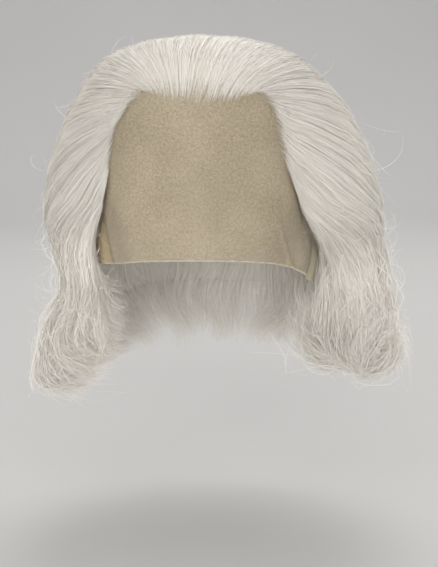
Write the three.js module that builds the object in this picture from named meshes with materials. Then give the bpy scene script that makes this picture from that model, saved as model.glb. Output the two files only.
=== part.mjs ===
// A lace front wig in the form it keeps on a head: a sheer uncut lace front, a net cap behind it,
// and white swept-back hair in three sections of locks that fall to the neck.
// Millimetres. The face looks along -Y, +X is the wearer's left, +Z is up,
// and the origin is where the crown of the head meets the inside of the cap.
import * as THREE from "three";

const { clamp, degToRad, lerp, smoothstep } = THREE.MathUtils;

// Head that the cap is cut for, about 560 mm round: half sizes at its widest level
const HEAD = { halfWidth: 76, front: 93, back: 99, crownDepth: 100, planPower: 2.3, profilePower: 2.3 };

// Share of the widest size that is left below the widest level, by the drop from the crown
const HEAD_TAPER = [
  { drop: 100, width: 1.0, front: 1.0, back: 1.0 },
  { drop: 130, width: 0.94, front: 0.98, back: 0.92 },
  { drop: 165, width: 0.86, front: 0.94, back: 0.78 },
];

// Walls and the small gaps between pieces
const CAP_WALL = 1.5;
const LACE_WALL = 1.0;
const SEAM_GAP = 0.7;
const HAIR_GAP = 1.3;
const ROOT_THICKNESS = 1.2;

// Lower edge of the cap round the head: the lace seam in front, an ear tab, the ear, then the nape
const CAP_EDGE = [
  { azimuth: 0, drop: 13 },
  { azimuth: 27, drop: 11 },
  { azimuth: 45, drop: 13 },
  { azimuth: 54, drop: 22 },
  { azimuth: 63, drop: 42 },
  { azimuth: 72, drop: 76 },
  { azimuth: 81, drop: 118 },
  { azimuth: 90, drop: 113 },
  { azimuth: 99, drop: 104 },
  { azimuth: 108, drop: 106 },
  { azimuth: 126, drop: 136 },
  { azimuth: 153, drop: 158 },
  { azimuth: 180, drop: 162 },
];

// Uncut lower edge of the lace, from the wearer's right to the left
const LACE_EDGE = [
  { azimuth: -81, drop: 148 },
  { azimuth: -56, drop: 143 },
  { azimuth: -28, drop: 137 },
  { azimuth: 0, drop: 135 },
  { azimuth: 30, drop: 138 },
  { azimuth: 56, drop: 146 },
  { azimuth: 81, drop: 163 },
];
const LACE_SIDE = 81;

// Where the lace stands away from the tapering head at its lower corners
const LACE_SPREAD = { fromAzimuth: 48, fromDrop: 98, fullDrop: 150, right: 10, left: 15 };

// Soft folds in the lace: a ridge that runs from one place on the sheet to another
const LACE_FOLDS = [
  { azimuth: 38, drop: 108, toAzimuth: 61, toDrop: 153, halfWidth: 3.5, height: 3.2 },
  { azimuth: 74, drop: 116, toAzimuth: 73, toDrop: 153, halfWidth: 4.0, height: -4.0 },
  { azimuth: -66, drop: 104, toAzimuth: -61, toDrop: 150, halfWidth: 4.0, height: -3.6 },
];

// Hairline that the locks start from: u is 0 in the middle of the forehead and 1 before the ear.
// Azimuths in degrees, the drop below the crown, the length over which the hair gains its body, and how
// many levels further down it is clear of the head
const HAIRLINE = [
  { u: 0.0, right: 0, left: 0, drop: 29, rise: 56, clear: 0.5 },
  { u: 0.17, right: 22, left: 20, drop: 26.5, rise: 56, clear: 0.5 },
  { u: 0.34, right: 43, left: 40, drop: 23.5, rise: 60, clear: 0.75 },
  { u: 0.46, right: 53, left: 46, drop: 29, rise: 68, clear: 0.95 },
  { u: 0.58, right: 60.5, left: 48, drop: 42, rise: 80, clear: 0.9 },
  { u: 0.72, right: 60.5, left: 47.5, drop: 62, rise: 92, clear: 0.75 },
  { u: 0.86, right: 61, left: 55, drop: 86, rise: 102, clear: 0.6 },
  { u: 1.0, right: 74, left: 70, drop: 116, rise: 110, clear: 0.5 },
];

// Where the locks hang, from the front edge on each side to the back: azimuths in degrees
const HANG = { right: 67, left: 72, back: 180, spread: 1.4 };

// The sweep from the hairline to there is a curve that first heads for a place at these shares of the
// turn and of the fall, over the crown and at the temples; u tells where the one goes over into the other.
// Its handles reach a share of the way to that place
const SWEEP = { from: 0.2, to: 0.52, crown: { turn: 1, fall: 0.35 }, temple: { turn: 0.08, fall: 0.6 } };
const SWEEP_REACH = 2 / 3;

// A level is 0 at the crown and 1 at the head's widest, and each further 1 is one crown depth lower.
// Half sizes of the hair's outer form
const HAIR_OUTER = [
  { level: 0.0, right: 0, left: 0, front: 0, back: 0 },
  { level: 0.31, right: 62, left: 60, front: 58, back: 64 },
  { level: 0.54, right: 86, left: 88, front: 82, back: 92 },
  { level: 0.74, right: 101, left: 109, front: 95, back: 109 },
  { level: 1.0, right: 114, left: 126, front: 103, back: 120 },
  { level: 1.25, right: 116, left: 130, front: 104, back: 124 },
  { level: 1.6, right: 104, left: 135, front: 103, back: 119 },
  { level: 1.95, right: 117, left: 141, front: 104, back: 122 },
  { level: 2.2, right: 122, left: 143, front: 105, back: 127 },
  { level: 2.4, right: 130, left: 130, front: 105, back: 126 },
  { level: 2.6, right: 127, left: 112, front: 104, back: 122 },
];
const HAIR_CROWN_HEIGHT = 12;

// Half sizes of the hanging hair's inner form, below the widest level
const HAIR_INNER = [
  { level: 1.0, right: 78.6, left: 78.6, front: 95.6, back: 101.6 },
  { level: 1.25, right: 80, left: 85, front: 97, back: 102 },
  { level: 1.6, right: 77, left: 91, front: 97, back: 100 },
  { level: 2.0, right: 62, left: 83, front: 98, back: 98 },
  { level: 2.3, right: 57, left: 78, front: 98, back: 98 },
  { level: 2.6, right: 60, left: 80, front: 98, back: 98 },
];

// How far down the locks reach, as the drop of the tip below the crown
const LOCK_TIPS = [
  { u: 0.0, right: 243, left: 243 },
  { u: 0.34, right: 244, left: 240 },
  { u: 0.58, right: 251, left: 238 },
  { u: 0.74, right: 257, left: 238 },
  { u: 0.88, right: 236, left: 232 },
  { u: 1.0, right: 212, left: 222 },
];

// The hair's thinning to its front edge, the share of the ridges that shows where it lies combed over
// the crown and the levels over which they grow to their full height, and the waves that it hangs in
const FRONT_EDGE = { from: 0.72, share: 0.32 };
const COMBED = { share: 0.25, from: 0.8, to: 1.6 };
const SWAY = { angle: 0.035, levels: 0.62, phase: 9.0 };

// Where along them the locks start to close towards the tip, and the shares of their depth that are left
// there: flicked out on the wearer's right, curled in on the left
const TIP = { from: 0.78, right: { inner: 0.26, outer: 0.86 }, left: { inner: 0.15, outer: 0.74 } };

// Sections that the hair is dressed in, divided along partings. Each lock in them has its share of
// the width, the height of its ridge over the valleys beside it, and how far its point hangs below them
const HAIR_SECTIONS = [
  {
    name: "right_side_hair",
    from: -0.52,
    to: -1,
    locks: [
      { share: 0.9, ridge: 4.0, point: 12 },
      { share: 1.3, ridge: 5.0, point: 15 },
      { share: 0.8, ridge: 3.5, point: 9 },
      { share: 1.1, ridge: 4.5, point: 17 },
      { share: 0.9, ridge: 3.0, point: 11 },
    ],
  },
  {
    name: "swept_back_hair",
    from: 0.52,
    to: -0.52,
    locks: [
      { share: 1.0, ridge: 4.5, point: 13 },
      { share: 1.3, ridge: 5.0, point: 18 },
      { share: 0.8, ridge: 3.5, point: 10 },
      { share: 1.1, ridge: 4.5, point: 14 },
      { share: 0.9, ridge: 4.0, point: 11 },
      { share: 1.2, ridge: 4.5, point: 16 },
      { share: 0.8, ridge: 3.5, point: 9 },
      { share: 1.1, ridge: 4.5, point: 15 },
      { share: 0.9, ridge: 3.5, point: 12 },
      { share: 1.3, ridge: 5.0, point: 17 },
      { share: 0.8, ridge: 3.5, point: 10 },
      { share: 1.1, ridge: 4.5, point: 14 },
      { share: 0.9, ridge: 4.0, point: 12 },
    ],
  },
  {
    name: "left_side_hair",
    from: 1,
    to: 0.52,
    locks: [
      { share: 0.8, ridge: 3.0, point: 10 },
      { share: 1.2, ridge: 4.5, point: 14 },
      { share: 0.9, ridge: 4.0, point: 10 },
      { share: 1.3, ridge: 5.0, point: 16 },
      { share: 0.9, ridge: 4.0, point: 12 },
    ],
  },
];
const PARTING_GAP = 0.002;

// Facets of each piece
const CAP_COLUMNS = 40;
const CAP_ROWS = 9;
const LACE_COLUMNS = 54;
const LACE_ROWS = 9;
const LOCK_COLUMNS = 4;
const ROWS_ON_HEAD = 11;
const ROWS_HANGING = 9;

const materials = {
  hair: new THREE.MeshStandardMaterial({ color: 0xece8e0, roughness: 0.6, metalness: 0 }),
  lace: new THREE.MeshStandardMaterial({ color: 0xd2c4a0, roughness: 0.9, metalness: 0 }),
  cap: new THREE.MeshStandardMaterial({ color: 0xd9ccb0, roughness: 0.9, metalness: 0 }),
};

// A column of a table at a place between its rows, on a smooth curve through them
function read(table, by, at, column) {
  let i = 0;
  while (i < table.length - 2 && at > table[i + 1][by]) i += 1;
  const a = table[i];
  const b = table[i + 1];
  const before = table[Math.max(i - 1, 0)];
  const after = table[Math.min(i + 2, table.length - 1)];
  const span = b[by] - a[by];
  const t = clamp((at - a[by]) / span, 0, 1);
  const slopeA = ((b[column] - before[column]) / (b[by] - before[by])) * span;
  const slopeB = ((after[column] - a[column]) / (after[by] - a[by])) * span;
  const fall = 1 - t;
  return (
    a[column] * fall * fall * (1 + 2 * t) +
    slopeA * t * fall * fall +
    b[column] * t * t * (3 - 2 * t) -
    slopeB * t * t * fall
  );
}

const levelAt = (drop) =>
  drop < HEAD.crownDepth
    ? Math.acos((1 - drop / HEAD.crownDepth) ** (HEAD.profilePower / 2)) / (Math.PI / 2)
    : drop / HEAD.crownDepth;

const dropAt = (level) =>
  level < 1
    ? HEAD.crownDepth * (1 - Math.cos((level * Math.PI) / 2) ** (2 / HEAD.profilePower))
    : HEAD.crownDepth * level;

const power = (value, exponent) => Math.sign(value) * Math.abs(value) ** exponent;

// A point of the head's surface, moved out by an offset; azimuth 0 is the middle of the face
function headPoint(azimuth, drop, offset) {
  const above = Math.max(0, 1 - drop / HEAD.crownDepth);
  const round = (1 - above ** HEAD.profilePower) ** (1 / HEAD.profilePower);
  const taper = (column) => (above > 0 ? round : read(HEAD_TAPER, "drop", drop, column));
  const across = power(Math.sin(azimuth), 2 / HEAD.planPower);
  const ahead = power(Math.cos(azimuth), 2 / HEAD.planPower);
  const end = ahead > 0 ? "front" : "back";
  return new THREE.Vector3(
    (HEAD.halfWidth + offset) * taper("width") * across,
    -(HEAD[end] + offset) * taper(end) * ahead,
    offset * above - drop,
  );
}

// A closed wall between an inner and an outer grid of points, both given as rows of columns.
// A ring joins its last column to its first, and its first row is a single point at the crown.
function wallGeometry(inner, outer, ring = false) {
  const rows = inner.length;
  const columns = inner[0].length;
  const positions = [];
  const indices = [];
  for (const point of [...inner.flat(), ...outer.flat()]) positions.push(...point.toArray());
  const at = (side, j, i) => side * rows * columns + j * columns + (ring ? (j === 0 ? 0 : i % columns) : i);
  const quad = (a, b, c, d) => {
    for (const face of [[a, b, c], [a, c, d]]) {
      if (new Set(face).size === 3) indices.push(...face);
    }
  };
  const steps = ring ? columns : columns - 1;
  for (let j = 0; j < rows - 1; j += 1) {
    for (let i = 0; i < steps; i += 1) {
      quad(at(1, j, i), at(1, j + 1, i), at(1, j + 1, i + 1), at(1, j, i + 1));
      quad(at(0, j, i), at(0, j, i + 1), at(0, j + 1, i + 1), at(0, j + 1, i));
    }
    if (!ring) {
      const end = columns - 1;
      quad(at(0, j, 0), at(0, j + 1, 0), at(1, j + 1, 0), at(1, j, 0));
      quad(at(0, j, end), at(1, j, end), at(1, j + 1, end), at(0, j + 1, end));
    }
  }
  for (let i = 0; i < steps; i += 1) {
    const foot = rows - 1;
    quad(at(0, foot, i), at(0, foot, i + 1), at(1, foot, i + 1), at(1, foot, i));
    if (!ring) quad(at(0, 0, i), at(1, 0, i), at(1, 0, i + 1), at(0, 0, i + 1));
  }
  const geometry = new THREE.BufferGeometry();
  geometry.setAttribute("position", new THREE.Float32BufferAttribute(positions, 3));
  geometry.setIndex(indices);
  geometry.computeVertexNormals();
  return geometry;
}

const grid = (rows, columns, pointAt) =>
  Array.from({ length: rows + 1 }, (_, j) => Array.from({ length: columns }, (_, i) => pointAt(j / rows, i)));

// The drop of the cap's edge, straight from one of the cap's columns to the next
function capEdge(degrees) {
  const step = 360 / CAP_COLUMNS;
  const column = Math.floor(degrees / step);
  const drops = [column, column + 1].map((i) => {
    const azimuth = Math.abs(((i * step + 180) % 360) - 180);
    return read(CAP_EDGE, "azimuth", azimuth, "drop");
  });
  return lerp(...drops, degrees / step - column);
}

// The net cap: from the crown down to its edge all round, open below
function capGeometry() {
  const side = (offset) =>
    grid(CAP_ROWS, CAP_COLUMNS, (down, i) => {
      const degrees = (i * 360) / CAP_COLUMNS;
      return headPoint(degToRad(degrees), dropAt(levelAt(capEdge(degrees)) * down), offset);
    });
  return wallGeometry(side(0), side(CAP_WALL), true);
}

// How far the lace stands off the head at a place on it, from its spread corners and its folds
function laceStandOff(degrees, drop) {
  const reach = degrees < 0 ? LACE_SPREAD.right : LACE_SPREAD.left;
  const spread =
    smoothstep(Math.abs(degrees), LACE_SPREAD.fromAzimuth, LACE_SIDE) *
    smoothstep(drop, LACE_SPREAD.fromDrop, LACE_SPREAD.fullDrop);
  const folds = LACE_FOLDS.map((fold) => {
    const along = clamp((drop - fold.drop) / (fold.toDrop - fold.drop), 0, 1);
    const away = (degrees - lerp(fold.azimuth, fold.toAzimuth, along)) / fold.halfWidth;
    return fold.height * along * Math.exp(-away * away);
  });
  return reach * spread + folds.reduce((sum, height) => sum + height, 0);
}

// The lace front: from the seam with the cap down over the forehead to its uncut edge
function laceGeometry() {
  const side = (offset) =>
    grid(LACE_ROWS, LACE_COLUMNS + 1, (down, i) => {
      const degrees = lerp(-LACE_SIDE, LACE_SIDE, i / LACE_COLUMNS);
      const seam = capEdge(degrees) + SEAM_GAP;
      const foot = read(LACE_EDGE, "azimuth", degrees, "drop");
      const drop = dropAt(lerp(levelAt(seam), levelAt(foot), down));
      return headPoint(degToRad(degrees), drop, offset + laceStandOff(degrees, drop));
    });
  return wallGeometry(side(0), side(LACE_WALL));
}

// The flat map of the head that the hair flows over: the crown is its middle, level is the radius
const onMap = (azimuth, level) => new THREE.Vector2(level * Math.sin(azimuth), -level * Math.cos(azimuth));

// A point of the hair between its inner form, at share 0, and its outer form, at share 1
function hairPoint(spot, share) {
  const level = spot.length();
  const azimuth = Math.atan2(spot.x, -spot.y);
  const side = spot.x < 0 ? "right" : "left";
  const end = spot.y < 0 ? "front" : "back";
  const drop = dropAt(level);
  const seat = CAP_WALL + HAIR_GAP;
  const inner = headPoint(azimuth, Math.min(drop, HEAD.crownDepth), seat);
  if (level > 1) {
    const across = power(Math.sin(azimuth), 2 / HEAD.planPower);
    const ahead = power(Math.cos(azimuth), 2 / HEAD.planPower);
    inner.x = read(HAIR_INNER, "level", level, side) * across;
    inner.y = -read(HAIR_INNER, "level", level, end) * ahead;
    inner.z = -drop;
  }
  const above = Math.max(0, 1 - drop / HEAD.crownDepth);
  const outer = new THREE.Vector3(
    read(HAIR_OUTER, "level", level, side) * Math.sin(azimuth),
    -read(HAIR_OUTER, "level", level, end) * Math.cos(azimuth),
    HAIR_CROWN_HEIGHT * above - drop,
  );
  return inner.lerp(outer, share);
}

// The places on the flat map that hair passes from its root at u to its tip, one for each row
function flowLine(u, shorter) {
  const along = Math.abs(u);
  const sign = u < 0 ? -1 : 1;
  const side = u < 0 ? "right" : "left";
  const rootAzimuth = sign * degToRad(read(HAIRLINE, "u", along, side));
  const rootLevel = levelAt(read(HAIRLINE, "u", along, "drop"));
  const hangAzimuth = lerp(HANG[side], HANG.back, (1 - along) ** HANG.spread);
  const hang = sign * degToRad(hangAzimuth);
  const leave = Math.max(1, rootLevel + read(HAIRLINE, "u", along, "clear"));
  const temple = smoothstep(along, SWEEP.from, SWEEP.to);
  const [turn, fall] = ["turn", "fall"].map((part) => lerp(SWEEP.crown[part], SWEEP.temple[part], temple));
  const bendLevel = lerp(rootLevel, leave, fall);
  const root = onMap(rootAzimuth, rootLevel);
  const end = onMap(hang, leave);
  const heading = root.clone().lerp(onMap(lerp(rootAzimuth, hang, turn), bendLevel), SWEEP_REACH);
  const arrival = end.clone().lerp(onMap(hang, bendLevel), SWEEP_REACH);
  const sweep = new THREE.CubicBezierCurve(root, heading, arrival, end);
  const tip = (read(LOCK_TIPS, "u", along, side) - shorter) / HEAD.crownDepth;
  const spots = sweep.getSpacedPoints(ROWS_ON_HEAD);
  for (let row = 1; row <= ROWS_HANGING; row += 1) {
    const level = lerp(leave, tip, row / ROWS_HANGING);
    const wave = ((level - leave) / SWAY.levels) * 2 * Math.PI + SWAY.phase * u;
    const growth = smoothstep(level, leave, leave + SWAY.levels);
    spots.push(onMap(hang + SWAY.angle * growth * Math.sin(wave), level));
  }
  return spots;
}

// One line of a lock, as its inner and outer points; crest is 1 on its ridge and 0 in a valley
function lockLine(u, crest, { ridge, point }) {
  const spots = flowLine(u, point * (1 - crest));
  const depth = lerp(1, FRONT_EDGE.share, smoothstep(Math.abs(u), FRONT_EDGE.from, 1));
  const riseLength = read(HAIRLINE, "u", Math.abs(u), "rise");
  const tip = u < 0 ? TIP.right : TIP.left;
  const line = { inner: [], outer: [] };
  let length = 0;
  spots.forEach((spot, row) => {
    const inner = hairPoint(spot, 0);
    if (row > 0) length += inner.distanceTo(hairPoint(spots[row - 1], 0));
    const rise = smoothstep(length, 0, riseLength);
    const full = hairPoint(spot, depth * rise);
    const thickness = full.distanceTo(inner);
    const parted = lerp(COMBED.share, 1, smoothstep(spot.length(), COMBED.from, COMBED.to));
    const cut = ridge * (1 - crest) * rise * parted;
    const kept = Math.max(ROOT_THICKNESS, thickness - cut);
    const closing = smoothstep(row / (spots.length - 1), TIP.from, 1);
    const out = full.clone().sub(inner);
    if (out.length() < ROOT_THICKNESS) out.copy(hairPoint(spot, 1)).sub(inner);
    out.normalize();
    line.inner.push(inner.clone().addScaledVector(out, kept * tip.inner * closing));
    line.outer.push(inner.clone().addScaledVector(out, kept * lerp(1, tip.outer, closing)));
  });
  return line;
}

// One section of hair: its locks side by side, each a ridge between two valleys, joined at the valleys
function hairGeometry({ from, to, locks }) {
  const gap = PARTING_GAP * Math.sign(from - to);
  const width = (to - from + 2 * gap) / locks.reduce((sum, lock) => sum + lock.share, 0);
  const lines = [];
  let u = from - gap;
  for (const lock of locks) {
    for (let i = 0; i < LOCK_COLUMNS; i += 1) {
      const across = i / LOCK_COLUMNS;
      lines.push(lockLine(u + width * lock.share * across, Math.sin(across * Math.PI), lock));
    }
    u += width * lock.share;
  }
  lines.push(lockLine(u, 0, locks.at(-1)));
  const rows = (face) => lines[0][face].map((_, j) => lines.map((line) => line[face][j]));
  return wallGeometry(rows("inner"), rows("outer"));
}

function piece(name, geometry, material) {
  const mesh = new THREE.Mesh(geometry, material);
  mesh.name = name;
  return mesh;
}

const wig = new THREE.Group();
wig.add(piece("cap", capGeometry(), materials.cap));
wig.add(piece("lace_front", laceGeometry(), materials.lace));
for (const section of HAIR_SECTIONS) {
  wig.add(piece(section.name, hairGeometry(section), materials.hair));
}

export default wig;
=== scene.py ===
"""Looks of a white lace front wig: strands of hair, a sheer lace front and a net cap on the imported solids.

Forms are worked out in millimetres in the frame of the solids: the face looks along -Y, +X is the
wearer's left, +Z is up and the crown of the head is the origin. Meshes are made in metres.
"""
import logging
import math
from dataclasses import dataclass
from enum import Enum
from typing import Any, Mapping, Sequence

import bpy
import numpy as np
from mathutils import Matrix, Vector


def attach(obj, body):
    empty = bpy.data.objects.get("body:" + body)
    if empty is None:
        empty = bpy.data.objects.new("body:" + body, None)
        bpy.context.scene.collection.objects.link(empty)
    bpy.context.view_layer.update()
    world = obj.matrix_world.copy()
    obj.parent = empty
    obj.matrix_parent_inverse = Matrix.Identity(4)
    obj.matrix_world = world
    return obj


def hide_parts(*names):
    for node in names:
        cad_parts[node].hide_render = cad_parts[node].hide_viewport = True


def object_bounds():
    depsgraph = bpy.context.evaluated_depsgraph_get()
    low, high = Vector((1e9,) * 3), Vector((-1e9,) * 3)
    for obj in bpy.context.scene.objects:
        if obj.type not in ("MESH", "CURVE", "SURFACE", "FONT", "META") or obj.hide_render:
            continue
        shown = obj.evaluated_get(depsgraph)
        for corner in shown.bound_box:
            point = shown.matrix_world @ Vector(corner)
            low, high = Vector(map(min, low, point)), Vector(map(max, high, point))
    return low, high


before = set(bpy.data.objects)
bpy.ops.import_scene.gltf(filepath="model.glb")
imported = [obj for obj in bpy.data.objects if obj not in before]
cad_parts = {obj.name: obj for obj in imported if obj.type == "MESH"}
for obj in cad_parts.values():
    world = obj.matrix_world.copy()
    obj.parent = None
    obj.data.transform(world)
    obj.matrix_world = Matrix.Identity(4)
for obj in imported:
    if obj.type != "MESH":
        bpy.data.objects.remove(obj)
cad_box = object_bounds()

Array = np.ndarray
LOG = logging.getLogger("wig")
Pair = tuple[float, float]
Triple = tuple[float, float, float]
Colour = Triple
MM = 0.001
TINY = 1e-9
SEED = 41
BAKE_MAP = "OFBake"
FLAT_MAP = "flat"


def lerp(low: Any, high: Any, share: Any) -> Any:
    """Return the value that lies at a share of the way from low to high."""
    return low + (high - low) * share


def smoothstep(value: Any, low: Any, high: Any) -> Any:
    """Return a soft step that is 0 below low and 1 above high."""
    t = np.clip((value - low) / (high - low), 0.0, 1.0)
    return t * t * (3.0 - 2.0 * t)


def unit(vectors: Array) -> Array:
    """Return vectors scaled to length 1 along their last axis."""
    return vectors / np.maximum(np.linalg.norm(vectors, axis=-1, keepdims=True), TINY)


def lengths(lines: Array) -> Array:
    """Return how far along its line each point lies.

    Args:
        lines: Points of many lines, as (line, point, coordinate).

    Returns:
        The length from each line's first point, as (line, point).
    """
    steps = np.linalg.norm(np.diff(lines, axis=1), axis=2)
    return np.concatenate([np.zeros((len(lines), 1)), np.cumsum(steps, axis=1)], axis=1)


def resample(lines: Array, stations: Array) -> Array:
    """Place points at given shares of each line's length.

    Args:
        lines: Points of many lines, as (line, point, coordinate).
        stations: Rising shares of the length from 0 to 1, as (line, station).

    Returns:
        The points at those shares, as (line, station, coordinate).
    """
    along = lengths(lines)
    along = along / np.maximum(along[:, -1:], TINY)
    rows = np.arange(len(lines))[:, None]
    last = lines.shape[1] - 2
    order = (along + 2.0 * rows).ravel()
    found = np.searchsorted(order, (stations + 2.0 * rows).ravel(), side="right") - 1
    index = np.clip(found.reshape(stations.shape) - rows * lines.shape[1], 0, last)
    low = along[rows, index]
    high = along[rows, index + 1]
    share = np.clip((stations - low) / np.maximum(high - low, TINY), 0.0, 1.0)
    return lerp(lines[rows, index], lines[rows, index + 1], share[..., None])


@dataclass(frozen=True)
class Ease:
    """A value that goes softly from one size to another between two places."""

    before: float
    after: float
    start: float
    end: float

    def __call__(self, where: Any) -> Any:
        """Return the value at a place."""
        return lerp(self.before, self.after, smoothstep(where, self.start, self.end))


@dataclass(frozen=True)
class Curve:
    """A smooth curve through the rows of a short table."""

    at: tuple[float, ...]
    value: tuple[float, ...]

    def __call__(self, where: Any) -> Array:
        """Return the curve's value.

        Args:
            where: Places along the table's first column, held to its ends.

        Returns:
            The second column's value at those places.
        """
        knots = np.array(self.at)
        values = np.array(self.value)
        rows = np.arange(len(knots))
        before = np.maximum(rows - 1, 0)
        after = np.minimum(rows + 1, len(knots) - 1)
        slopes = (values[after] - values[before]) / (knots[after] - knots[before])
        i = np.clip(np.searchsorted(knots, where) - 1, 0, len(knots) - 2)
        span = knots[i + 1] - knots[i]
        t = np.clip((where - knots[i]) / span, 0.0, 1.0)
        fall = 1.0 - t
        return (
            values[i] * fall**2 * (1.0 + 2.0 * t)
            + slopes[i] * span * t * fall**2
            + values[i + 1] * t**2 * (3.0 - 2.0 * t)
            - slopes[i + 1] * span * t**2 * fall
        )


@dataclass(frozen=True)
class SidedCurve:
    """A table whose value differs from the wearer's right to the left."""

    at: tuple[float, ...]
    right: tuple[float, ...]
    left: tuple[float, ...]

    def __call__(self, where: Array, sign: Array) -> Array:
        """Return the value at a place on the side that sign gives."""
        return np.where(sign < 0, Curve(self.at, self.right)(where), Curve(self.at, self.left)(where))


@dataclass(frozen=True)
class HeadForm:
    """The head that the cap is cut for."""

    half_width: float = 76.0
    front: float = 93.0
    back: float = 99.0
    crown_depth: float = 100.0
    plan_power: float = 2.3
    profile_power: float = 2.3
    taper_width: Curve = Curve((100, 130, 165), (1.0, 0.94, 0.86))
    taper_front: Curve = Curve((100, 130, 165), (1.0, 0.98, 0.94))
    taper_back: Curve = Curve((100, 130, 165), (1.0, 0.92, 0.78))

    def level(self, drop: Array) -> Array:
        """Return the level of a drop.

        Args:
            drop: Distance below the crown.

        Returns:
            The level: 0 at the crown, 1 at the widest, then 1 more each crown depth.
        """
        above = np.clip(1.0 - drop / self.crown_depth, 0.0, 1.0)
        over = np.arccos(above ** (self.profile_power / 2.0)) / (math.pi / 2.0)
        return np.where(drop < self.crown_depth, over, drop / self.crown_depth)

    def drop(self, level: Array) -> Array:
        """Return the drop of a level.

        Args:
            level: Level on the head, 0 at the crown and 1 at the widest.

        Returns:
            The distance below the crown.
        """
        over = np.cos(np.clip(level, 0.0, 1.0) * math.pi / 2.0)
        above = self.crown_depth * (1.0 - np.clip(over, 0.0, 1.0) ** (2.0 / self.profile_power))
        return np.where(level < 1.0, above, self.crown_depth * level)

    def plan(self, azimuth: Array) -> tuple[Array, Array]:
        """Return a place on a round but slightly square plan.

        Args:
            azimuth: Angle from the middle of the face towards the wearer's left, in radians.

        Returns:
            The share across and the share ahead, each from -1 to 1.
        """
        power = 2.0 / self.plan_power
        across = np.sign(np.sin(azimuth)) * np.abs(np.sin(azimuth)) ** power
        ahead = np.sign(np.cos(azimuth)) * np.abs(np.cos(azimuth)) ** power
        return across, ahead

    def point(self, azimuth: Array, drop: Array, offset: Any) -> Array:
        """Return points on the head.

        Args:
            azimuth: Angle from the middle of the face towards the wearer's left, in radians.
            drop: Distance below the crown.
            offset: How far the points stand off the head.

        Returns:
            The points, with coordinates on the last axis.
        """
        above = np.maximum(0.0, 1.0 - drop / self.crown_depth)
        roundness = (1.0 - above**self.profile_power) ** (1.0 / self.profile_power)
        across, ahead = self.plan(azimuth)
        width = np.where(above > 0, roundness, self.taper_width(drop))
        front = np.where(above > 0, roundness, self.taper_front(drop))
        back = np.where(above > 0, roundness, self.taper_back(drop))
        depth = np.where(ahead > 0, (self.front + offset) * front, (self.back + offset) * back)
        x = (self.half_width + offset) * width * across
        return np.stack([x, -depth * ahead, offset * above - drop], axis=-1)


@dataclass(frozen=True)
class Lock:
    """One lock: its share of the width, its ridge's height, and how far its point hangs below its sides."""

    share: float
    ridge: float
    point: float


def locks(*rows: Triple) -> tuple[Lock, ...]:
    """Return locks from rows of share, ridge and point."""
    return tuple(Lock(*row) for row in rows)


@dataclass(frozen=True)
class Section:
    """A section of hair between two partings, given by their places along the hairline."""

    node: str
    start: float
    end: float
    locks: tuple[Lock, ...]


SECTIONS = (
    Section(
        "right_side_hair",
        -0.52,
        -1.0,
        locks((0.9, 4.0, 12), (1.3, 5.0, 15), (0.8, 3.5, 9), (1.1, 4.5, 17), (0.9, 3.0, 11)),
    ),
    Section(
        "swept_back_hair",
        0.52,
        -0.52,
        locks(
            (1.0, 4.5, 13), (1.3, 5.0, 18), (0.8, 3.5, 10), (1.1, 4.5, 14), (0.9, 4.0, 11),
            (1.2, 4.5, 16), (0.8, 3.5, 9), (1.1, 4.5, 15), (0.9, 3.5, 12),
            (1.3, 5.0, 17), (0.8, 3.5, 10), (1.1, 4.5, 14), (0.9, 4.0, 12),
        ),
    ),
    Section(
        "left_side_hair",
        1.0,
        0.52,
        locks((0.8, 3.0, 10), (1.2, 4.5, 14), (0.9, 4.0, 10), (1.3, 5.0, 16), (0.9, 4.0, 12)),
    ),
)


HAIRLINE_PLACES = (0.0, 0.17, 0.34, 0.46, 0.58, 0.72, 0.86, 1.0)
OUTER_LEVELS = (0.0, 0.31, 0.54, 0.74, 1.0, 1.25, 1.6, 1.95, 2.2, 2.4, 2.6)
INNER_LEVELS = (1.0, 1.25, 1.6, 2.0, 2.3, 2.6)
CURL_PLACES = (0.0, 0.22, 0.43, 0.68, 1.0)


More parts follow.
